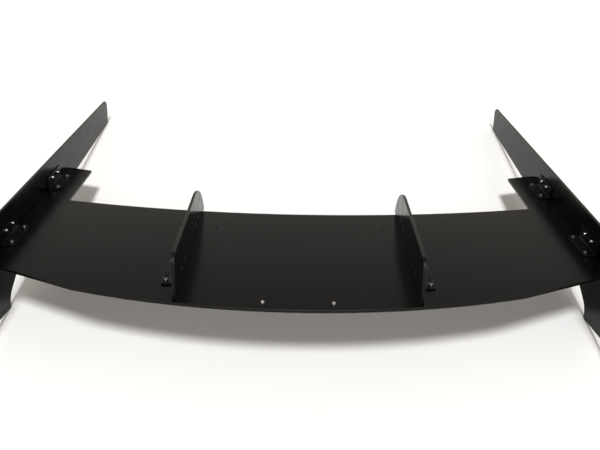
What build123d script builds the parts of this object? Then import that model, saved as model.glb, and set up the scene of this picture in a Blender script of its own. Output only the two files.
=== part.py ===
"""Flat-sheet rear diffuser for a track car, lying with its fins up.

Frame: the origin is midway between the two trailing edge screws, on the panel's mounting face (its
underside here). +X is to the right, +Y towards the front of the car, +Z up, the side the fins stand on.
All sizes are in millimetres.
"""

import os

from build123d import *

os.makedirs("parts", exist_ok=True)

# Sheet parts
SHEET = 6.0  # thickness of the panel, the fins and the end plates
EDGE_BREAK = 0.5  # chamfer round their outlines

# Main panel
PLATE_X = 613.0  # inner face of each end plate
SIDE_GAP = 0.5  # between the panel's side edges and the plates
TRAIL_Y = -25.0  # trailing edge at the middle
TRAIL_BEND = (421.0, 49.5)  # where the trailing edge's arc becomes straight
TRAIL_CORNER_Y = 152.0  # trailing edge at the end plate
LEAD_Y = 453.0  # leading edge at the middle
NOTCH = (544.0, 521.0)  # inner corner, where the leading edge meets a tab
NOTCH_R = 6.0
TAB_TIP_Y = 749.0  # tab's front edge at its inner side
TAB_PLATE_Y = 774.0  # tab's front edge at the end plate
TAB_TIP_R = 2.0

# Screws and holes in the panel that hold none of its own pieces
STUD_X = 64.0  # trailing edge screws, either side of the middle
STUD_HOLE_R = 2.75
FRONT_HOLE = (181.0, 365.0)
FRONT_HOLE_R = 3.0

# End plates: corners of the outline in Y and Z, and the radius of each corner
PLATE_OUTLINE = {
    "rear top": ((45.0, 71.0), 18.0),
    "arm tip, top": ((1270.0, 71.0), 22.0),
    "arm tip, low": ((1270.0, -1.0), 5.0),
    "ankle": ((376.5, -59.5), 300.0),
    "heel": ((261.0, -120.5), 32.0),
    "toe": ((261.0, -146.5), 6.0),
    "rear low": ((45.0, -127.5), 14.0),
}

# Fins, in the same way
FIN_X = 221.0  # inner face of each fin
FIN_OUTLINE = {
    "rear foot": ((7.0, SHEET), 0.0),
    "rear top": ((7.0, 92.0), 20.0),
    "shoulder": ((424.0, 92.0), 180.0),
    "front foot": ((482.0, SHEET), 0.0),
}

# Right-angle brackets, all of one size
LEG = 30.0  # outer length of each leg
LEG_T = 3.0
BRACKET_LENGTH = 108.0
BEND_R = 4.5  # outer radius of the bend
LEG_CORNER_R = 4.0
HOLE_LINE = 21.5  # from the bend's outer corner to the holes, on both legs
FLOOR_PITCH = 84.0  # hole spacing on the leg that lies on the panel
WALL_PITCH = 42.0  # hole spacing on the upright leg
BRACKET_HOLE_R = 2.75
PLATE_BRACKET_Y = {"rear": 291.0, "front": 644.0}
FIN_BRACKET_Y = {"rear": 121.0, "front": 349.0}

# Fasteners. Widths across the hexagon are "across", all other widths are radii.
M5 = {
    "shank": 2.5,
    "core": 2.1,
    "length": 16.0,
    "head": 4.25,
    "head_height": 5.0,
    "socket_across": 4.0,
    "socket_depth": 2.5,
    "washer": 5.0,
    "washer_t": 1.0,
    "nut_across": 8.0,
    "nut_height": 5.0,
}
M4 = {
    "shank": 2.0,
    "core": 1.75,
    "length": 16.0,
    "head": 3.5,
    "head_height": 4.0,
    "socket_across": 3.0,
    "socket_depth": 2.0,
    "washer": 4.5,
    "washer_t": 0.8,
    "nut_across": 7.0,
    "nut_height": 5.0,
}
FLAT_HEAD_R = 4.8  # countersunk M5 heads, flush with the fins' inner faces
FLAT_SOCKET_ACROSS = 3.0
SINK_R = 5.0  # mouth of the countersink in the fin
POINT = 0.5  # chamfer at a screw's end
WASHER_SLACK = 0.2  # between a screw's shank and its washer's bore

SIDES = {"left": -1, "right": 1}


def save(piece, name):
    """Label a finished piece and write it under its own name."""
    piece.part.label = name
    export_step(piece.part, f"parts/{name}.step")


def break_edges(faces):
    """Chamfer the outlines of a sheet's two large faces."""
    chamfer([edge for face in faces for edge in face.outer_wire().edges()], EDGE_BREAK)


# ---------------------------------------------------------------- where the brackets go


def bracket_places():
    """For every bracket: its wall's X, the side its flat leg points to and its middle's Y."""
    places = {}
    for side, sign in SIDES.items():
        for end, middle in PLATE_BRACKET_Y.items():
            places[f"{side}_{end}_plate_bracket"] = (sign * PLATE_X, -sign, middle)
        for end, middle in FIN_BRACKET_Y.items():
            places[f"{side}_{end}_fin_bracket"] = (sign * (FIN_X + SHEET), sign, middle)
    return places


def floor_holes(wall, out, middle):
    """The two hole centres of a bracket's flat leg, at the panel's upper face."""
    x = wall + out * HOLE_LINE
    return [(x, middle + step, SHEET) for step in (-FLOOR_PITCH / 2, FLOOR_PITCH / 2)]


def wall_holes(wall, middle):
    """The two hole centres of a bracket's upright leg, at the wall's face."""
    z = SHEET + HOLE_LINE
    return [(wall, middle + step, z) for step in (-WALL_PITCH / 2, WALL_PITCH / 2)]


BRACKETS = bracket_places()

# ---------------------------------------------------------------- main panel

half_panel = PLATE_X - SIDE_GAP
bend_x, bend_y = TRAIL_BEND
notch_x, notch_y = NOTCH
hole_x, hole_y = FRONT_HOLE

with BuildPart() as main_panel:
    with BuildSketch(Plane.XY) as panel_outline:
        with BuildLine():
            ThreePointArc((-bend_x, bend_y), (0, TRAIL_Y), (bend_x, bend_y))
            Polyline(
                (bend_x, bend_y),
                (half_panel, TRAIL_CORNER_Y),
                (half_panel, TAB_PLATE_Y),
                (notch_x, TAB_TIP_Y),
                (notch_x, notch_y),
            )
            ThreePointArc((notch_x, notch_y), (0, LEAD_Y), (-notch_x, notch_y))
            Polyline(
                (-notch_x, notch_y),
                (-notch_x, TAB_TIP_Y),
                (-half_panel, TAB_PLATE_Y),
                (-half_panel, TRAIL_CORNER_Y),
                (-bend_x, bend_y),
            )
        make_face()
        notches = panel_outline.vertices().filter_by(lambda v: abs(v.Y - notch_y) < 1)
        fillet(notches, NOTCH_R)
        tips = panel_outline.vertices().filter_by(lambda v: abs(v.Y - TAB_TIP_Y) < 1)
        fillet(tips, TAB_TIP_R)
    extrude(amount=SHEET)
    break_edges(main_panel.faces().filter_by(Axis.Z))
    for place in BRACKETS.values():
        with Locations(*floor_holes(*place)):
            Hole(BRACKET_HOLE_R)
    with Locations((-STUD_X, 0, SHEET), (STUD_X, 0, SHEET)):
        Hole(STUD_HOLE_R)
    with Locations((-hole_x, hole_y, SHEET), (hole_x, hole_y, SHEET)):
        Hole(FRONT_HOLE_R)
save(main_panel, "main_panel")

# ---------------------------------------------------------------- end plates and fins


def upright_sheet(inner_x, sign, outline):
    """A sheet that stands on edge, from its inner face outwards."""
    corners = [corner for corner, _ in outline.values()]
    radii = [radius for _, radius in outline.values()]
    with BuildPart() as sheet:
        with BuildSketch(Plane.YZ.offset(sign * inner_x)):
            with BuildLine():
                FilletPolyline(*corners, radius=radii, close=True)
            make_face()
        extrude(amount=sign * SHEET)
        break_edges(sheet.faces().filter_by(Axis.X))
    return sheet


def inner_seats(inner_x, sign, middles):
    """Planes at the bracket holes of a wall's inner face, looking towards the middle."""
    holes = [hole for middle in middles for hole in wall_holes(sign * inner_x, middle)]
    return [Plane(hole, x_dir=(0, 1, 0), z_dir=(-sign, 0, 0)) for hole in holes]


for side, sign in SIDES.items():
    end_plate = upright_sheet(PLATE_X, sign, PLATE_OUTLINE)
    with end_plate:
        with Locations(*inner_seats(PLATE_X, sign, PLATE_BRACKET_Y.values())):
            Hole(BRACKET_HOLE_R)
    save(end_plate, f"{side}_end_plate")

    fin = upright_sheet(FIN_X, sign, FIN_OUTLINE)
    with fin:
        with Locations(*inner_seats(FIN_X, sign, FIN_BRACKET_Y.values())):
            CounterSinkHole(BRACKET_HOLE_R, SINK_R, counter_sink_angle=90)
    save(fin, f"{side}_fin")

# ---------------------------------------------------------------- brackets


def angle_bracket(wall, out, middle):
    """A bent right-angle bracket: one leg on the panel, one against the wall."""
    rear = middle - BRACKET_LENGTH / 2
    corner = Plane((wall, rear, SHEET), x_dir=(out, 0, 0), z_dir=(0, -out, 0))
    with BuildPart() as bracket:
        with BuildSketch(corner):
            with BuildLine():
                FilletPolyline(
                    (0, 0),
                    (LEG, 0),
                    (LEG, LEG_T),
                    (LEG_T, LEG_T),
                    (LEG_T, LEG),
                    (0, LEG),
                    radius=[BEND_R, 0, 0, BEND_R - LEG_T, 0, 0],
                    close=True,
                )
            make_face()
        extrude(amount=-out * BRACKET_LENGTH)
        flat_end = wall + out * LEG
        upright = bracket.edges().filter_by(Axis.Z)
        fillet(upright.filter_by(lambda e: abs(e.center().X - flat_end) < 1), LEG_CORNER_R)
        top = SHEET + LEG
        level = bracket.edges().filter_by(Axis.X)
        fillet(level.filter_by(lambda e: abs(e.center().Z - top) < 1), LEG_CORNER_R)
        for x, y, z in floor_holes(wall, out, middle):
            with Locations((x, y, z + LEG_T)):
                Hole(BRACKET_HOLE_R, depth=2 * LEG_T)
        for x, y, z in wall_holes(wall, middle):
            with Locations(Plane((x + out * LEG_T, y, z), x_dir=(0, 1, 0), z_dir=(out, 0, 0))):
                Hole(BRACKET_HOLE_R, depth=2 * LEG_T)
    return bracket


for name, place in BRACKETS.items():
    save(angle_bracket(*place), name)

# ---------------------------------------------------------------- fasteners
#
# Each is made once with its head's seat at the origin and its shank along -Z, then set in every
# place it is used. grip is all that it clamps, washer included. Inside its washer and its nut a
# screw is drawn at its thread's core size.


def shank_points(size, grip):
    """Half outline of a screw below its head, from the tip's middle up to the seat."""
    shank, core, tip = size["shank"], size["core"], -size["length"]
    return [
        (0, tip),
        (shank - POINT, tip),
        (shank, tip + POINT),
        (shank, -grip - size["nut_height"]),
        (core, -grip - size["nut_height"]),
        (core, size["washer_t"] - grip),
        (shank, size["washer_t"] - grip),
    ]


def turned_screw(half_outline, across, top, depth):
    """Turn a half outline into a screw and cut the hexagon socket in its top."""
    with BuildPart() as screw:
        with BuildSketch(Plane.XZ):
            with BuildLine():
                Polyline(*half_outline, close=True)
            make_face()
        revolve(axis=Axis.Z)
        with BuildSketch(Plane.XY.offset(top)):
            RegularPolygon(across / 2, 6, major_radius=False)
        extrude(amount=-depth, mode=Mode.SUBTRACT)
    return screw.part


def cap_screw(size, grip):
    """Socket cap screw: a plain round head with a chamfered rim."""
    head, top = size["head"], size["head_height"]
    half = [
        *shank_points(size, grip),
        (size["shank"], 0),
        (head, 0),
        (head, top - POINT),
        (head - POINT, top),
        (0, top),
    ]
    return turned_screw(half, size["socket_across"], top, size["socket_depth"])


def flat_screw(size, grip):
    """Countersunk screw, its top flush with the seat."""
    sink = FLAT_HEAD_R - size["shank"]
    half = [*shank_points(size, grip), (size["shank"], -sink), (FLAT_HEAD_R, 0), (0, 0)]
    return turned_screw(half, FLAT_SOCKET_ACROSS, 0, sink)


def flat_washer(size, grip):
    """Washer, the last thing in the grip."""
    with BuildPart() as washer:
        with BuildSketch(Plane.XY.offset(-grip)):
            Circle(size["washer"])
            Circle(size["shank"] + WASHER_SLACK, mode=Mode.SUBTRACT)
        extrude(amount=size["washer_t"])
    return washer.part


def lock_nut(size, grip):
    """Lock nut: a hexagon with a round collar at its outer end."""
    hexagon_height = 0.7 * size["nut_height"]
    collar_r = 0.44 * size["nut_across"]
    with BuildPart() as nut:
        with BuildSketch(Plane.XY.offset(-grip)):
            RegularPolygon(size["nut_across"] / 2, 6, major_radius=False)
        extrude(amount=-hexagon_height)
        with BuildSketch(Plane.XY.offset(-grip)):
            Circle(collar_r)
        extrude(amount=-size["nut_height"])
        with BuildSketch(Plane.XY.offset(-grip)):
            Circle(size["core"])
        extrude(amount=-size["nut_height"], mode=Mode.SUBTRACT)
    return nut.part


def save_fasteners(name, piece, seats):
    """One node of identical fasteners, a separate solid on every seat."""
    with BuildPart() as group:
        with Locations(*[Location(seat) for seat in seats]):
            add(piece)
    save(group, name)


def flat_leg_seats(place):
    """Planes under the screw heads on a bracket's flat leg."""
    return [Plane((x, y, z + LEG_T)) for x, y, z in floor_holes(*place)]


def upright_leg_seats(wall, out, middle):
    """Planes under the screw heads on a bracket's upright leg."""
    face = wall + out * LEG_T
    holes = [(face, y, z) for _, y, z in wall_holes(wall, middle)]
    return [Plane(hole, x_dir=(0, 1, 0), z_dir=(out, 0, 0)) for hole in holes]


bracket_grip = LEG_T + SHEET + M5["washer_t"]
bracket_cap_screw = cap_screw(M5, bracket_grip)
fin_flat_screw = flat_screw(M5, bracket_grip)
bracket_washer = flat_washer(M5, bracket_grip)
bracket_nut = lock_nut(M5, bracket_grip)

for name, place in BRACKETS.items():
    wall, out, middle = place
    cap_seats = flat_leg_seats(place)
    all_seats = cap_seats + upright_leg_seats(*place)
    if name.endswith("fin_bracket"):
        flat_seats = inner_seats(FIN_X, out, [middle])
        all_seats = cap_seats + flat_seats
        save_fasteners(f"{name}_flat_screws", fin_flat_screw, flat_seats)
        save_fasteners(f"{name}_cap_screws", bracket_cap_screw, cap_seats)
    else:
        save_fasteners(f"{name}_cap_screws", bracket_cap_screw, all_seats)
    save_fasteners(f"{name}_washers", bracket_washer, all_seats)
    save_fasteners(f"{name}_nuts", bracket_nut, all_seats)

stud_grip = SHEET + M4["washer_t"]
stud_seats = [Plane((x, 0, SHEET)) for x in (-STUD_X, STUD_X)]
save_fasteners("trailing_edge_screws", cap_screw(M4, stud_grip), stud_seats)
save_fasteners("trailing_edge_washers", flat_washer(M4, stud_grip), stud_seats)
save_fasteners("trailing_edge_nuts", lock_nut(M4, stud_grip), stud_seats)
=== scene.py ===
from math import cos, pi, radians, sin, tan

import bmesh
import bpy
from mathutils import Matrix, Vector


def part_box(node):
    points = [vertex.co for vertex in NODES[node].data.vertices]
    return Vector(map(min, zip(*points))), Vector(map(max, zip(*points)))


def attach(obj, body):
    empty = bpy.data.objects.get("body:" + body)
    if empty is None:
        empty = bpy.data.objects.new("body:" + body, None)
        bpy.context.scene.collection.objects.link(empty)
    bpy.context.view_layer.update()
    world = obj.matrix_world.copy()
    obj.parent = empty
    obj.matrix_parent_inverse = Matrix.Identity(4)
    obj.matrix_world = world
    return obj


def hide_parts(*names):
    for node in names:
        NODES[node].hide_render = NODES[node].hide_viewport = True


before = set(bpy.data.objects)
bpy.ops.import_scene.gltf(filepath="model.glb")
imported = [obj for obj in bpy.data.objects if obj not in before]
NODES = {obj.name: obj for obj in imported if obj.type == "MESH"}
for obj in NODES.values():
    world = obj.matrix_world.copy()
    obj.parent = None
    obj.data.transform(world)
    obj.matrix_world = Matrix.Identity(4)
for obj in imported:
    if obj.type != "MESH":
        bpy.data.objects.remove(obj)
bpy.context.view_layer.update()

# A flat-sheet rear diffuser for a track car, lying with its fins up: looks, floor, lights and camera.
# All sizes are in metres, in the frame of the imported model.

MM = 0.001

# Sheets and brackets, as they are drilled
SHEET = 6 * MM  # thickness of the panel, the end plates and the fins
BRACKET_SHEET = 3 * MM
HOLE_LINE = 21.5 * MM  # from one leg's outer face to the holes in the other leg
FLOOR_PITCH = 84 * MM
WALL_PITCH = 42 * MM

# Rounding of sharp corners, and the distance within which two points are one
SHEET_CORNER = 0.16 * MM
BRACKET_CORNER = 0.5 * MM
WELD = 0.002 * MM

# How squarely a polygon faces across the sheet: above the first it belongs to the sheet's face, and
# below the second to its cut edge
FACE_ALIGNMENT = 0.98
EDGE_ALIGNMENT = 0.2

# Fasteners, as bought. Widths are radii, or half the width across flats, and "grip" is what the screw
# clamps, its washer included.
M5 = {
    "shank": 2.5 * MM,
    "root": 2.05 * MM,
    "pitch": 0.8 * MM,
    "length": 16 * MM,
    "grip": 10 * MM,
    "head": 4.25 * MM,
    "head_height": 5 * MM,
    "socket": 2 * MM,
    "socket_depth": 2.5 * MM,
    "washer": 5 * MM,
    "washer_t": 1 * MM,
    "nut": 4 * MM,
    "nut_height": 5 * MM,
}
M4 = {
    "shank": 2 * MM,
    "root": 1.6 * MM,
    "pitch": 0.7 * MM,
    "length": 16 * MM,
    "grip": 6.8 * MM,
    "head": 3.5 * MM,
    "head_height": 4 * MM,
    "socket": 1.5 * MM,
    "socket_depth": 2 * MM,
    "washer": 4.5 * MM,
    "washer_t": 0.8 * MM,
    "nut": 3.5 * MM,
    "nut_height": 5 * MM,
}
FLAT_HEAD = 4.72 * MM  # radius of a flat screw's head
FLAT_SOCKET = 1.5 * MM  # half its socket's width across flats
KNURL_DEPTH = 0.13 * MM
CHAMFER_30 = tan(radians(30))  # slope of a nut's chamfer
SAME_HEIGHT = 0.001 * MM  # heights nearer than this are the same

# Columns round a turned part: a knurled head takes more
PLAIN_SIDES = 48
KNURLED_SIDES = 96

# ------------------------------------------------------------------ node helpers


def add(tree, kind, inputs=None, **settings):
    """Add a node, with its settings, and set or link its inputs."""
    node = tree.nodes.new(kind)
    for key, value in settings.items():
        setattr(node, key, value)
    for socket, value in (inputs or {}).items():
        feed(tree, node.inputs[socket], value)
    return node


def feed(tree, socket, value):
    """Link a socket to another, or set it to a constant."""
    if isinstance(value, bpy.types.NodeSocket):
        tree.links.new(value, socket)
    else:
        socket.default_value = value


def live(sockets, name):
    """The socket of this name that the node's data type switches on."""
    return [socket for socket in sockets if socket.name == name and socket.enabled][0]


def maths(tree, operation, *values):
    """The result of one sum on sockets or numbers."""
    node = add(tree, "ShaderNodeMath", dict(enumerate(values)), operation=operation)
    return node.outputs[0]


# ------------------------------------------------------------------ finishes


def start_finish(name):
    """An empty finish: the material's tree, its shader and the object's own coordinates."""
    finish = bpy.data.materials.new(name)
    finish.use_nodes = True
    tree = finish.node_tree
    tree.nodes.clear()
    shader = add(tree, "ShaderNodeBsdfPrincipled")
    add(tree, "ShaderNodeOutputMaterial", {"Surface": shader.outputs["BSDF"]})
    place = add(tree, "ShaderNodeTexCoord").outputs["Object"]
    return finish, tree, shader, place


def stretched(tree, place, scale):
    """Object coordinates squeezed along each axis, for grain that runs one way."""
    node = add(tree, "ShaderNodeMapping", {"Vector": place, "Scale": scale})
    return node.outputs["Vector"]


def noise(tree, place, per_metre, detail=3.0, rough=0.55):
    """Cloudy noise from 0 to 1 with this many lumps a metre."""
    values = {"Vector": place, "Scale": per_metre, "Detail": detail, "Roughness": rough}
    return add(tree, "ShaderNodeTexNoise", values).outputs["Fac"]


def between(tree, value, low, high, from_low=0.0, from_high=1.0):
    """Spread a value over a new range, held at its ends."""
    values = {"Value": value, "From Min": from_low, "From Max": from_high, "To Min": low, "To Max": high}
    return add(tree, "ShaderNodeMapRange", values).outputs["Result"]


def tint(tree, amount, dark, light):
    """A colour between two shades."""
    mix = add(tree, "ShaderNodeMix", data_type="RGBA")
    feed(tree, live(mix.inputs, "Factor"), amount)
    feed(tree, live(mix.inputs, "A"), (*dark, 1.0))
    feed(tree, live(mix.inputs, "B"), (*light, 1.0))
    return live(mix.outputs, "Result")


def relief(tree, height, strength, depth):
    """Surface relief from a height between 0 and 1."""
    values = {"Height": height, "Strength": strength, "Distance": depth}
    return add(tree, "ShaderNodeBump", values).outputs["Normal"]


def satin_sheet():
    """Satin black sheet face: fine moulded grain, faint handling marks and hairline scratches."""
    finish, tree, shader, place = start_finish("satin_black_sheet")
    clouds = noise(tree, place, 7.0, 4.0)
    smudges = noise(tree, place, 28.0, 5.0, 0.6)
    grain = noise(tree, place, 1600.0, 2.0)
    along = noise(tree, stretched(tree, place, (900.0, 14.0, 900.0)), 1.0, 2.0)
    across = noise(tree, stretched(tree, place, (11.0, 1100.0, 1100.0)), 1.0, 2.0)
    hairlines = maths(tree, "MAXIMUM", between(tree, along, 0.0, 1.0, 0.70, 0.80),
                      between(tree, across, 0.0, 1.0, 0.71, 0.80))
    shade = maths(tree, "MULTIPLY_ADD", hairlines, 0.35, maths(tree, "MULTIPLY", clouds, 0.6))
    colour = tint(tree, shade, (0.0011, 0.00107, 0.0010), (0.0026, 0.0025, 0.0023))
    feed(tree, shader.inputs["Base Color"], colour)
    gloss = between(tree, smudges, 0.17, 0.25, 0.3, 0.7)
    feed(tree, shader.inputs["Roughness"], maths(tree, "MULTIPLY_ADD", hairlines, 0.07, gloss))
    shader.inputs["Specular IOR Level"].default_value = 0.033
    height = maths(tree, "MULTIPLY_ADD", hairlines, -0.35, grain)
    feed(tree, shader.inputs["Normal"], relief(tree, height, 0.12, 0.04 * MM))
    return finish


def sheet_cut_edge():
    """The routed edge of the sheet: duller than its faces, with fine cutter marks across it."""
    finish, tree, shader, place = start_finish("routed_sheet_edge")
    chatter = noise(tree, stretched(tree, place, (1300.0, 1300.0, 160.0)), 1.0, 2.0)
    patches = noise(tree, place, 60.0, 4.0)
    colour = tint(tree, patches, (0.0012, 0.00117, 0.0011), (0.0028, 0.0027, 0.0026))
    feed(tree, shader.inputs["Base Color"], colour)
    feed(tree, shader.inputs["Roughness"], between(tree, chatter, 0.36, 0.48, 0.3, 0.7))
    shader.inputs["Specular IOR Level"].default_value = 0.13
    feed(tree, shader.inputs["Normal"], relief(tree, chatter, 0.35, 0.04 * MM))
    return finish


def arris_painted_highlight():
    """The broken corner of the sheet, paler than its faces as a painted highlight along the arris, in random
    patches that are also smoother.
    """
    finish, tree, shader, place = start_finish("worn_sheet_corner")
    pale_patches = between(tree, noise(tree, place, 110.0, 5.0, 0.65), 0.0, 1.0, 0.42, 0.62)
    # painted highlight: the corner is coloured paler than the sheet's faces to stand for the light line
    # caught along every arris
    colour = tint(tree, pale_patches, (0.004, 0.0039, 0.0036), (0.012, 0.0117, 0.011))
    feed(tree, shader.inputs["Base Color"], colour)
    feed(tree, shader.inputs["Roughness"], between(tree, pale_patches, 0.42, 0.28))
    shader.inputs["Specular IOR Level"].default_value = 0.2
    feed(tree, shader.inputs["Normal"], relief(tree, noise(tree, place, 900.0), 0.2, 0.05 * MM))
    return finish


def powder_coat():
    """Satin black powder coat on the brackets, with its orange peel."""
    finish, tree, shader, place = start_finish("black_powder_coat")
    peel = noise(tree, place, 520.0, 1.5, 0.4)
    dust = noise(tree, place, 45.0, 4.0)
    colour = tint(tree, dust, (0.0011, 0.0011, 0.0011), (0.0024, 0.0024, 0.0023))
    feed(tree, shader.inputs["Base Color"], colour)
    feed(tree, shader.inputs["Roughness"], between(tree, dust, 0.24, 0.34, 0.3, 0.7))
    shader.inputs["Specular IOR Level"].default_value = 0.04
    feed(tree, shader.inputs["Normal"], relief(tree, peel, 0.45, 0.12 * MM))
    return finish


def black_oxide():
    """Oiled black oxide on steel, rubbed paler towards bare metal in places."""
    finish, tree, shader, place = start_finish("black_oxide_steel")
    pale_patches = between(tree, noise(tree, place, 900.0, 4.0, 0.6), 0.0, 1.0, 0.52, 0.78)
    colour = tint(tree, pale_patches, (0.22, 0.22, 0.225), (0.42, 0.41, 0.40))
    feed(tree, shader.inputs["Base Color"], colour)
    shader.inputs["Metallic"].default_value = 1.0
    feed(tree, shader.inputs["Roughness"], between(tree, pale_patches, 0.28, 0.22))
    feed(tree, shader.inputs["Normal"], relief(tree, noise(tree, place, 2600.0), 0.25, 0.02 * MM))
    return finish


def bright_zinc():
    """Bright zinc plate, with slight yellowing and fine tumbling marks."""
    finish, tree, shader, place = start_finish("bright_zinc_plate")
    stain = between(tree, noise(tree, place, 420.0, 4.0, 0.6), 0.0, 1.0, 0.4, 0.75)
    marks = noise(tree, place, 3000.0, 3.0)
    colour = tint(tree, stain, (0.72, 0.71, 0.69), (0.52, 0.50, 0.45))
    feed(tree, shader.inputs["Base Color"], colour)
    shader.inputs["Metallic"].default_value = 1.0
    feed(tree, shader.inputs["Roughness"], between(tree, marks, 0.24, 0.38, 0.3, 0.7))
    feed(tree, shader.inputs["Normal"], relief(tree, marks, 0.2, 0.02 * MM))
    return finish


def nylon_ring():
    """The nylon locking ring in a nut."""
    finish, tree, shader, place = start_finish("nylon_locking_ring")
    cloud = noise(tree, place, 700.0, 3.0)
    colour = tint(tree, cloud, (0.50, 0.49, 0.45), (0.62, 0.61, 0.57))
    feed(tree, shader.inputs["Base Color"], colour)
    feed(tree, shader.inputs["Roughness"], between(tree, cloud, 0.42, 0.55, 0.3, 0.7))
    shader.inputs["Subsurface Weight"].default_value = 0.15
    shader.inputs["Subsurface Scale"].default_value = 0.4 * MM
    feed(tree, shader.inputs["Normal"], relief(tree, noise(tree, place, 2200.0), 0.15, 0.03 * MM))
    return finish


def pale_floor():
    """Plain white studio floor."""
    finish, tree, shader, place = start_finish("white_studio_floor")
    mottle = noise(tree, place, 1.5, 3.0)
    colour = tint(tree, mottle, (0.88, 0.88, 0.88), (0.91, 0.91, 0.905))
    feed(tree, shader.inputs["Base Color"], colour)
    feed(tree, shader.inputs["Roughness"], between(tree, mottle, 0.7, 0.8))
    shader.inputs["Specular IOR Level"].default_value = 0.1
    return finish


FACE = satin_sheet()
EDGE = sheet_cut_edge()
ARRIS = arris_painted_highlight()
COAT = powder_coat()
OXIDE = black_oxide()
ZINC = bright_zinc()
NYLON = nylon_ring()

# ------------------------------------------------------------------ sheets and brackets


def place_piece(mesh, name):
    """A new object at the origin that carries this mesh."""
    piece = bpy.data.objects.new(name, mesh)
    bpy.context.scene.collection.objects.link(piece)
    return piece


def settle(piece):
    """Turn a piece and its modifiers into one plain mesh."""
    bpy.context.view_layer.update()
    graph = bpy.context.evaluated_depsgraph_get()
    mesh = bpy.data.meshes.new_from_object(piece.evaluated_get(graph), depsgraph=graph)
    piece.modifiers.clear()
    piece.data = mesh
    mesh.name = piece.name
    return mesh


def hand_over(piece, slot, *nodes):
    """The finished piece rides on the body and stands for its CAD nodes."""
    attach(piece, "root")
    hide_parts(*nodes)


def smooth_below(mesh, degrees):
    """Smooth shading, kept sharp where faces meet at a larger angle."""
    mesh.polygons.foreach_set("use_smooth", [True] * len(mesh.polygons))
    mesh.set_sharp_from_angle(angle=radians(degrees))


def rounded_copy(node, name, radius, steps):
    """A copy of a CAD node as one clean shell, with its sharp corners rounded over."""
    mesh = NODES[node].data.copy()
    mesh.materials.clear()
    shell = bmesh.new()
    shell.from_mesh(mesh)
    bmesh.ops.remove_doubles(shell, verts=shell.verts, dist=WELD)
    bmesh.ops.dissolve_limit(shell, angle_limit=radians(0.3), verts=shell.verts, edges=shell.edges)
    shell.to_mesh(mesh)
    shell.free()
    piece = place_piece(mesh, name)
    rounding = piece.modifiers.new("Rounded corners", "BEVEL")
    rounding.width = radius
    rounding.segments = steps
    rounding.limit_method = "ANGLE"
    rounding.angle_limit = radians(30)
    rounding.use_clamp_overlap = True
    return piece


def sheet_piece(node, flat_axis):
    """A sheet part: satin faces, routed edges and corners coloured paler as a painted highlight. flat_axis
    is across its thickness.
    """
    piece = rounded_copy(node, f"{node}_sheet", SHEET_CORNER, 2)
    mesh = settle(piece)
    for finish in (FACE, EDGE, ARRIS):
        mesh.materials.append(finish)
    for face in mesh.polygons:
        alignment = abs(face.normal[flat_axis])
        face.material_index = 0 if alignment > FACE_ALIGNMENT else 1 if alignment < EDGE_ALIGNMENT else 2
    smooth_below(mesh, 25)
    for face in mesh.polygons:
        face.use_smooth = face.material_index > 0
    hand_over(piece, "black_sheet", node)


def bracket_piece(node):
    """A bent bracket with coating-rounded corners."""
    piece = rounded_copy(node, f"{node}_coated", BRACKET_CORNER, 3)
    mesh = settle(piece)
    mesh.materials.append(COAT)
    smooth_below(mesh, 30)
    hand_over(piece, "black_bracket", node)


sheet_piece("main_panel", 2)
for side in ("left", "right"):
    sheet_piece(f"{side}_end_plate", 0)
    sheet_piece(f"{side}_fin", 0)

BRACKETS = [f"{side}_{end}_{wall}" for side in ("left", "right") for end in ("rear", "front")
            for wall in ("plate", "fin")]
for bracket in BRACKETS:
    bracket_piece(f"{bracket}_bracket")

# ------------------------------------------------------------------ turned parts
#
# A turned part is a half outline, listed from the tip round to the top, swept round +Z. Each row of the
# outline may be a hexagon, coned towards its corners, knurled, threaded or nylon.


class Outline:
    """Half outline of a turned part, row by row."""

    def __init__(self):
        self.rows = []
        self.thread_low = 0.0
        self.thread_high = 0.0
        self.thread_depth = 0.0

    def ring(self, radius, height, hexagon=0.0, cone=0.0, knurl=0.0, thread=0.0, nylon=0.0):
        """Add one row."""
        self.rows.append((radius, height, hexagon, cone, knurl, thread, nylon))

    def thread(self, size, low, high):
        """Crest and root rows that climb one pitch a turn, between two heights."""
        self.thread_low = low
        self.thread_high = high
        self.thread_depth = size["shank"] - size["root"]
        step = size["pitch"] / 2
        count = int((high - low) / step) + 4
        for row in range(count):
            crest = row % 2
            radius = size["shank"] if crest else size["root"]
            self.ring(radius, low - size["pitch"] + row * step, thread=1.0 + crest)

    def source(self):
        """The outline as a loose row of points that carry what each row is."""
        mesh = bpy.data.meshes.new("outline")
        mesh.from_pydata([(row[0], 0, row[1]) for row in self.rows], [], [])
        for column, key in enumerate(("hexagon", "cone", "knurl", "thread", "nylon"), start=2):
            values = mesh.attributes.new(key, "FLOAT", "POINT")
            values.data.foreach_set("value", [row[column] for row in self.rows])
        return place_piece(mesh, "outline")


def shank_rows(size):
    """A screw from its tip up to the underside of its head."""
    tip = -size["length"]
    nut_end = -size["grip"] - size["nut_height"]
    neck = size["root"] - 0.05 * MM
    nut_seat = size["washer_t"] - size["grip"]
    point = 0.35 * MM
    outline = Outline()
    outline.ring(0, tip)
    outline.ring(size["root"] - point, tip)
    outline.ring(size["root"], tip + point)
    outline.thread(size, tip + point, nut_end + 0.4 * MM)
    outline.ring(size["root"], nut_end + 0.4 * MM)
    outline.ring(neck, nut_end + 0.6 * MM)
    outline.ring(neck, nut_seat - 0.2 * MM)
    outline.ring(size["shank"], nut_seat)
    return outline


def socket_rows(outline, top, half_across, depth):
    """A chamfered hexagon socket with a drilled bottom."""
    corner = half_across / cos(radians(30))
    outline.ring(corner + 0.12 * MM, top)
    outline.ring(half_across, top - 0.18 * MM, hexagon=1.0)
    outline.ring(half_across, top - depth + 0.4 * MM, hexagon=1.0)
    outline.ring(half_across * 0.8, top - depth + 0.25 * MM)
    outline.ring(0, top - depth)
    return outline


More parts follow.
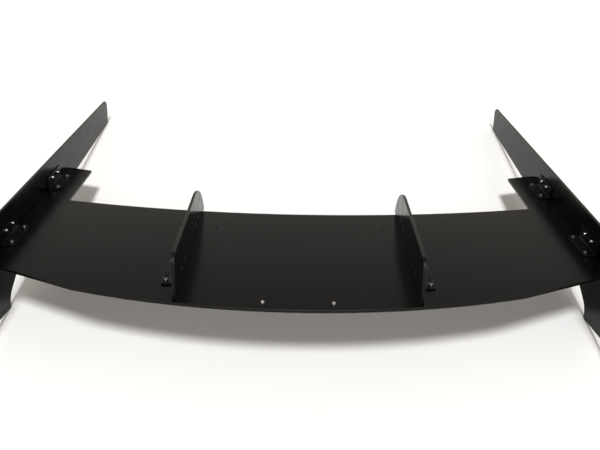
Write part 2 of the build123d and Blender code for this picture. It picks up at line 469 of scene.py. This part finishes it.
def cap_screw_outline(size):
    """Socket cap screw: knurled round head with a rounded rim."""
    head = size["head"]
    top = size["head_height"]
    outline = shank_rows(size)
    outline.ring(size["shank"], -0.12 * MM)
    outline.ring(size["shank"] + 0.15 * MM, 0)
    outline.ring(head - 0.3 * MM, 0)
    outline.ring(head - 0.06 * MM, 0.2 * MM)
    outline.ring(head, 0.34 * MM, knurl=1.0)
    outline.ring(head, top - 0.85 * MM, knurl=1.0)
    outline.ring(head - 0.1 * MM, top - 0.68 * MM)
    rim = 0.55 * MM
    for step in range(4):
        turn = radians(30 * step)
        outline.ring(head - 0.12 * MM - rim * (1 - cos(turn)), top - rim * (1 - sin(turn)))
    return socket_rows(outline, top, size["socket"], size["socket_depth"])


def flat_screw_outline(size):
    """Countersunk socket screw, its top at the seat's height."""
    sink = FLAT_HEAD - size["shank"]
    outline = shank_rows(size)
    outline.ring(size["shank"], -sink - 0.12 * MM)
    outline.ring(FLAT_HEAD, -0.14 * MM)
    outline.ring(FLAT_HEAD - 0.03 * MM, -0.03 * MM)
    outline.ring(FLAT_HEAD - 0.14 * MM, 0)
    return socket_rows(outline, 0, FLAT_SOCKET, 2.2 * MM)


def washer_outline(size):
    """Punched flat washer, with softened outer corners."""
    bore = size["shank"] + 0.2 * MM
    rim = size["washer"]
    low = -size["grip"]
    high = low + size["washer_t"]
    soft = 0.14 * MM
    outline = Outline()
    for radius, height in (
        (bore, low), (rim - 2 * soft, low), (rim - 0.5 * soft, low + 0.3 * soft), (rim, low + soft),
        (rim, high - 0.4 * soft), (rim - 0.4 * soft, high), (bore + 0.5 * soft, high), (bore, high - soft),
        (bore, low),
    ):
        outline.ring(radius, height)
    return outline


def nut_outline(size):
    """Lock nut: chamfered hexagon with a round collar that holds a nylon ring."""
    across = size["nut"]
    face = 0.95 * across
    collar = 0.88 * across
    bore = size["root"] + 0.04 * MM
    seat = -size["grip"]
    end = seat - size["nut_height"]
    shoulder = seat - 0.7 * size["nut_height"]
    flat_drop = (across - face) * CHAMFER_30
    lip = collar - 0.62 * MM
    outline = Outline()
    outline.ring(lip, end)
    outline.ring(collar - 0.3 * MM, end)
    outline.ring(collar - 0.08 * MM, end + 0.1 * MM)
    outline.ring(collar, end + 0.32 * MM)
    outline.ring(collar, shoulder)
    outline.ring(face, shoulder)
    outline.ring(across, shoulder + flat_drop, hexagon=1.0, cone=CHAMFER_30)
    outline.ring(across, seat - flat_drop, hexagon=1.0, cone=-CHAMFER_30)
    outline.ring(face, seat)
    outline.ring(bore + 0.5 * MM, seat)
    outline.ring(bore, seat - 0.4 * MM)
    outline.ring(bore, end + 1.2 * MM, nylon=1.0)
    outline.ring(bore, end + 0.45 * MM, nylon=1.0)
    outline.ring(bore + 0.25 * MM, end + 0.2 * MM, nylon=1.0)
    outline.ring(lip, end + 0.2 * MM, nylon=1.0)
    outline.ring(lip, end)
    return outline


def named_input(tree, name, kind, default=None):
    """Add a named input to the tree's interface."""
    socket = tree.interface.new_socket(name, in_out="INPUT", socket_type=kind)
    if default is not None:
        socket.default_value = default


def sampled(tree, source, field, row):
    """A value of one outline row, read by its number."""
    kind = "FLOAT_VECTOR" if field.type == "VECTOR" else "FLOAT"
    node = add(tree, "GeometryNodeSampleIndex", {"Geometry": source, "Index": row}, data_type=kind)
    tree.links.new(field, live(node.inputs, "Value"))
    return live(node.outputs, "Value")


def named_value(tree, key, kind="FLOAT"):
    """A value that each point carries by name."""
    field = add(tree, "GeometryNodeInputNamedAttribute", {"Name": key}, data_type=kind)
    return live(field.outputs, "Attribute")


def row_value(tree, source, key, row):
    """A named value of one outline row."""
    return sampled(tree, source, named_value(tree, key), row)


def turned_part_tree():
    """Sweep an outline round +Z and set one on every seat, each clocked at random."""
    tree = bpy.data.node_groups.new("Turned parts on seats", "GeometryNodeTree")
    named_input(tree, "Seats", "NodeSocketGeometry")
    named_input(tree, "Outline", "NodeSocketObject")
    named_input(tree, "Sides", "NodeSocketInt", PLAIN_SIDES)
    named_input(tree, "Knurl Depth", "NodeSocketFloat", KNURL_DEPTH)
    named_input(tree, "Thread Pitch", "NodeSocketFloat", M5["pitch"])
    named_input(tree, "Thread Depth", "NodeSocketFloat", M5["shank"] - M5["root"])
    named_input(tree, "Thread Low", "NodeSocketFloat", 0.0)
    named_input(tree, "Thread High", "NodeSocketFloat", 0.0)
    named_input(tree, "Clocking Seed", "NodeSocketInt", 1)
    named_input(tree, "Finish", "NodeSocketMaterial")
    named_input(tree, "Ring Finish", "NodeSocketMaterial")
    tree.interface.new_socket("Parts", in_out="OUTPUT", socket_type="NodeSocketGeometry")
    given = tree.nodes.new("NodeGroupInput").outputs

    # one grid row for each outline row, one grid column for each side and one to close the seam
    info = add(tree, "GeometryNodeObjectInfo", {"Object": given["Outline"]})
    source = info.outputs["Geometry"]
    size = add(tree, "GeometryNodeAttributeDomainSize", {"Geometry": source})
    columns = maths(tree, "ADD", given["Sides"], 1.0)
    rows = size.outputs["Point Count"]
    grid = add(tree, "GeometryNodeMeshGrid", {"Vertices X": rows, "Vertices Y": columns})
    index = tree.nodes.new("GeometryNodeInputIndex").outputs[0]
    row = maths(tree, "FLOOR", maths(tree, "DIVIDE", maths(tree, "ADD", index, 0.5), columns))
    column = maths(tree, "SUBTRACT", index, maths(tree, "MULTIPLY", row, columns))
    turn = maths(tree, "DIVIDE", column, given["Sides"])
    angle = maths(tree, "MULTIPLY", turn, 2 * pi)

    spot = tree.nodes.new("GeometryNodeInputPosition").outputs[0]
    place = add(tree, "ShaderNodeSeparateXYZ", {"Vector": sampled(tree, source, spot, row)}).outputs
    hexagon = row_value(tree, source, "hexagon", row)
    cone = row_value(tree, source, "cone", row)
    knurl = row_value(tree, source, "knurl", row)
    thread = row_value(tree, source, "thread", row)
    nylon = row_value(tree, source, "nylon", row)

    # hexagon rows: the radius grows towards the corners, and a coned row drops there
    sixth = maths(tree, "SUBTRACT", maths(tree, "MODULO", maths(tree, "ADD", angle, pi / 6), pi / 3), pi / 6)
    spread = maths(tree, "SUBTRACT", maths(tree, "DIVIDE", 1.0, maths(tree, "COSINE", sixth)), 1.0)
    beyond = maths(tree, "MULTIPLY", maths(tree, "MULTIPLY", place["X"], spread), hexagon)
    radius = maths(tree, "ADD", place["X"], beyond)
    height = maths(tree, "MULTIPLY_ADD", beyond, cone, place["Z"])

    # knurled rows: every other column is cut in
    cut = maths(tree, "MULTIPLY", maths(tree, "MULTIPLY", maths(tree, "MODULO", column, 2.0), knurl),
                given["Knurl Depth"])
    radius = maths(tree, "SUBTRACT", radius, cut)

    # threaded rows climb one pitch a turn, and run out at the ends of the thread
    threaded = maths(tree, "MINIMUM", thread, 1.0)
    climb = maths(tree, "MULTIPLY", maths(tree, "MULTIPLY", turn, given["Thread Pitch"]), threaded)
    climbed = maths(tree, "ADD", height, climb)
    held = maths(tree, "MINIMUM", maths(tree, "MAXIMUM", climbed, given["Thread Low"]), given["Thread High"])
    held_back = maths(tree, "ABSOLUTE", maths(tree, "SUBTRACT", held, climbed))
    moved = maths(tree, "GREATER_THAN", held_back, SAME_HEIGHT)
    crest = maths(tree, "MAXIMUM", maths(tree, "SUBTRACT", thread, 1.0), 0.0)
    runout = maths(tree, "MULTIPLY", maths(tree, "MULTIPLY", crest, moved), given["Thread Depth"])
    radius = maths(tree, "SUBTRACT", radius, runout)
    height = maths(tree, "ADD", maths(tree, "MULTIPLY", held, threaded),
                   maths(tree, "MULTIPLY", height, maths(tree, "SUBTRACT", 1.0, threaded)))

    swept = add(tree, "ShaderNodeCombineXYZ", {
        "X": maths(tree, "MULTIPLY", radius, maths(tree, "COSINE", angle)),
        "Y": maths(tree, "MULTIPLY", radius, maths(tree, "SINE", angle)),
        "Z": height,
    })
    ringed = add(tree, "GeometryNodeStoreNamedAttribute",
                 {"Geometry": grid.outputs["Mesh"], "Name": "ring"}, data_type="FLOAT", domain="POINT")
    feed(tree, live(ringed.inputs, "Value"), nylon)
    swept_mesh = add(tree, "GeometryNodeSetPosition",
                     {"Geometry": ringed.outputs[0], "Position": swept.outputs["Vector"]})
    outward = add(tree, "GeometryNodeFlipFaces", {"Mesh": swept_mesh.outputs["Geometry"]})
    closed = add(tree, "GeometryNodeMergeByDistance",
                 {"Geometry": outward.outputs["Mesh"], "Distance": WELD})

    # one part on every seat, each clocked at random
    facing = named_value(tree, "facing", "FLOAT_VECTOR")
    set_out = add(tree, "GeometryNodeInstanceOnPoints", {
        "Points": given["Seats"], "Instance": closed.outputs["Geometry"], "Rotation": facing})
    clock = add(tree, "FunctionNodeRandomValue", data_type="FLOAT")
    feed(tree, live(clock.inputs, "Max"), 2 * pi)
    feed(tree, clock.inputs["Seed"], given["Clocking Seed"])
    clocking = add(tree, "ShaderNodeCombineXYZ", {"Z": live(clock.outputs, "Value")})
    clocked = add(tree, "GeometryNodeRotateInstances", {
        "Instances": set_out.outputs["Instances"],
        "Rotation": clocking.outputs["Vector"],
        "Local Space": True,
    })
    real = add(tree, "GeometryNodeRealizeInstances", {"Geometry": clocked.outputs["Instances"]})

    # the finish, and the locking ring's own
    ring_faces = add(tree, "GeometryNodeFieldOnDomain", data_type="FLOAT", domain="FACE")
    feed(tree, live(ring_faces.inputs, "Value"), named_value(tree, "ring"))
    in_ring = maths(tree, "GREATER_THAN", live(ring_faces.outputs, "Value"), 0.9)
    plated = add(tree, "GeometryNodeSetMaterial",
                 {"Geometry": real.outputs["Geometry"], "Material": given["Finish"]})
    both = add(tree, "GeometryNodeSetMaterial", {
        "Geometry": plated.outputs["Geometry"],
        "Selection": in_ring,
        "Material": given["Ring Finish"],
    })
    add(tree, "NodeGroupOutput", {0: both.outputs["Geometry"]})
    return tree


PARTS_ON_SEATS = turned_part_tree()


def set_on_seats(name, outline, seats, size, sides, finish, seed):
    """Make one fastener piece: the outline swept and set on every seat, a point and a direction."""
    mesh = bpy.data.meshes.new(name)
    mesh.from_pydata([point for point, _ in seats], [], [])
    facing = mesh.attributes.new("facing", "FLOAT_VECTOR", "POINT")
    turns = [Vector((0, 0, 1)).rotation_difference(Vector(way)).to_euler() for _, way in seats]
    facing.data.foreach_set("vector", [value for turn in turns for value in turn])
    piece = place_piece(mesh, name)
    source = outline.source()
    modifier = piece.modifiers.new("Turned parts", "NODES")
    modifier.node_group = PARTS_ON_SEATS
    values = {
        "Outline": source,
        "Sides": sides,
        "Knurl Depth": KNURL_DEPTH,
        "Thread Pitch": size["pitch"],
        "Thread Depth": outline.thread_depth,
        "Thread Low": outline.thread_low,
        "Thread High": outline.thread_high,
        "Clocking Seed": seed,
        "Finish": finish,
        "Ring Finish": NYLON,
    }
    sockets = PARTS_ON_SEATS.interface.items_tree
    keys = {item.name: item.identifier for item in sockets if item.in_out == "INPUT"}
    for key, value in values.items():
        modifier[keys[key]] = value
    result = settle(piece)
    bpy.data.objects.remove(source)
    smooth_below(result, 32)
    return piece


def fastener_piece(node, outline, seats, size, sides, finish, slot, seed):
    """A fastener node's detailed stand-in."""
    piece = set_on_seats(f"{node}_turned", outline, seats, size, sides, finish, seed)
    hand_over(piece, slot, node)


def black_fasteners(node, outline, seats, sides, seed):
    """Black M5 screws, washers or nuts."""
    fastener_piece(node, outline, seats, M5, sides, OXIDE, "black_steel", seed)


def bright_fasteners(node, outline, seats, sides, seed):
    """Zinc plated M4 screws, washers or nuts."""
    fastener_piece(node, outline, seats, M4, sides, ZINC, "bright_steel", seed)


# ------------------------------------------------------------------ where the fasteners sit


def bracket_seats(bracket):
    """Seats for a bracket's screws: on its flat leg, on its upright leg and through a fin's inner face."""
    low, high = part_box(f"{bracket}_bracket")
    side = -1 if bracket.startswith("left") else 1
    out = side if bracket.endswith("fin") else -side
    wall = low.x if out > 0 else high.x
    middle = (low.y + high.y) / 2
    floor_z = low.z + BRACKET_SHEET
    floor = [((wall + out * HOLE_LINE, middle + step, floor_z), (0, 0, 1))
             for step in (-FLOOR_PITCH / 2, FLOOR_PITCH / 2)]
    hole_z = low.z + HOLE_LINE
    upright = [((wall + out * BRACKET_SHEET, middle + step, hole_z), (out, 0, 0))
               for step in (-WALL_PITCH / 2, WALL_PITCH / 2)]
    through = [((wall - out * SHEET, middle + step, hole_z), (-out, 0, 0))
               for step in (-WALL_PITCH / 2, WALL_PITCH / 2)]
    return floor, upright, through


# Seeds for the clocking: every set of screws, washers or nuts has its own
CAP_SCREW_SEED = 20
WASHER_SEED = 40
NUT_SEED = 60
STUD_SEED = 81

for seed, bracket in enumerate(BRACKETS, start=1):
    floor, upright, through = bracket_seats(bracket)
    node = f"{bracket}_bracket"
    if bracket.endswith("fin"):
        black_fasteners(f"{node}_flat_screws", flat_screw_outline(M5), through, PLAIN_SIDES, seed)
        cap_seats = floor
        all_seats = floor + through
    else:
        cap_seats = floor + upright
        all_seats = cap_seats
    cap_screw = cap_screw_outline(M5)
    black_fasteners(f"{node}_cap_screws", cap_screw, cap_seats, KNURLED_SIDES, CAP_SCREW_SEED + seed)
    black_fasteners(f"{node}_washers", washer_outline(M5), all_seats, PLAIN_SIDES, WASHER_SEED + seed)
    black_fasteners(f"{node}_nuts", nut_outline(M5), all_seats, PLAIN_SIDES, NUT_SEED + seed)

stud_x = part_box("trailing_edge_screws")[1].x - M4["head"]
panel_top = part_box("main_panel")[1].z
studs = [((x, 0, panel_top), (0, 0, 1)) for x in (-stud_x, stud_x)]
bright_fasteners("trailing_edge_screws", cap_screw_outline(M4), studs, KNURLED_SIDES, STUD_SEED)
bright_fasteners("trailing_edge_washers", washer_outline(M4), studs, PLAIN_SIDES, STUD_SEED + 1)
bright_fasteners("trailing_edge_nuts", nut_outline(M4), studs, PLAIN_SIDES, STUD_SEED + 2)

# ------------------------------------------------------------------ floor, lights and camera

WHITE = (1.0, 1.0, 1.0)
WARM_WHITE = (1.0, 0.94, 0.86)
TOE_Y = 261 * MM  # how far forward the end plates' toes are
ARM_TIP_Z = -1 * MM  # the underside of the arms at their tips

# The part stands on its two toes and on the tips of its arms, so the floor climbs towards the tips.
plate_low, plate_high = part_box("left_end_plate")
TOE = Vector((0, TOE_Y, plate_low.z))
ARM_TIP = Vector((0, plate_high.y, ARM_TIP_Z))
climb = (ARM_TIP - TOE).normalized()
UP = Vector((0, -climb.z, climb.y))
FLOOR_FRAME = Matrix((Vector((1, 0, 0)), climb, UP)).transposed()


def on_floor(x, along, height):
    """A point this far along the floor from the toes and this far above it."""
    return TOE + FLOOR_FRAME @ Vector((x, along, height))


def studio_floor():
    """A wide sheet of white, just under the toes and the arm tips."""
    half = 14.0
    drop = -0.4 * MM
    square = ((-half, -half), (half, -half), (half, half), (-half, half))
    corners = [on_floor(x, y, drop) for x, y in square]
    mesh = bpy.data.meshes.new("studio_floor")
    mesh.from_pydata(corners, [], [(0, 1, 2, 3)])
    mesh.materials.append(pale_floor())
    place_piece(mesh, "studio_floor")


def distant_light(name, bearing, elevation, spread, strength, colour):
    """A far softbox: its bearing from behind the camera, its height above the floor, its apparent width."""
    lamp = bpy.data.lights.new(name, "SUN")
    lamp.angle = spread
    lamp.energy = strength
    lamp.color = colour
    light = bpy.data.objects.new(name, lamp)
    bpy.context.scene.collection.objects.link(light)
    level = cos(elevation)
    towards = FLOOR_FRAME @ Vector((level * sin(bearing), -level * cos(bearing), sin(elevation)))
    light.rotation_euler = towards.to_track_quat("Z", "Y").to_euler()


def studio_world(horizon, zenith):
    """Pale studio walls all round, darker overhead."""
    world = bpy.data.worlds.new("studio")
    world.use_nodes = True
    tree = world.node_tree
    way = add(tree, "ShaderNodeTexCoord").outputs["Generated"]
    height = add(tree, "ShaderNodeVectorMath", {0: way, 1: UP}, operation="DOT_PRODUCT").outputs["Value"]
    level = between(tree, height, horizon, zenith, 0.05, 0.85)
    feed(tree, tree.nodes["Background"].inputs["Strength"], level)
    tree.nodes["Background"].inputs["Color"].default_value = (*WARM_WHITE, 1.0)
    bpy.context.scene.world = world


def studio_camera():
    """A standing viewer's camera, behind the trailing edge and looking down over it."""
    pitch = radians(21.394)
    yaw = radians(0.197)
    roll = radians(1.168)
    ahead = Vector((sin(yaw) * cos(pitch), cos(yaw) * cos(pitch), -sin(pitch)))
    level = Vector((cos(yaw), -sin(yaw), 0))
    above = level.cross(ahead)
    right = cos(roll) * level + sin(roll) * above
    upward = cos(roll) * above - sin(roll) * level
    lens = bpy.data.cameras.new("camera")
    lens.sensor_width = 36.0
    lens.lens = 51.0
    camera = bpy.data.objects.new("camera", lens)
    eye = (-0.00427, -1.3675, 0.69355)
    turn = Matrix((right, upward, -ahead)).transposed().to_4x4()
    camera.matrix_world = Matrix.Translation(eye) @ turn
    bpy.context.scene.collection.objects.link(camera)
    bpy.context.scene.camera = camera


studio_floor()
studio_world(0.95, 0.25)
distant_light("key", 0.0, radians(52.5), radians(9), 3.0, WHITE)
distant_light("fill", radians(8), radians(17), radians(26), 1.4, WARM_WHITE)
studio_camera()
bpy.context.scene.view_settings.view_transform = "Standard"
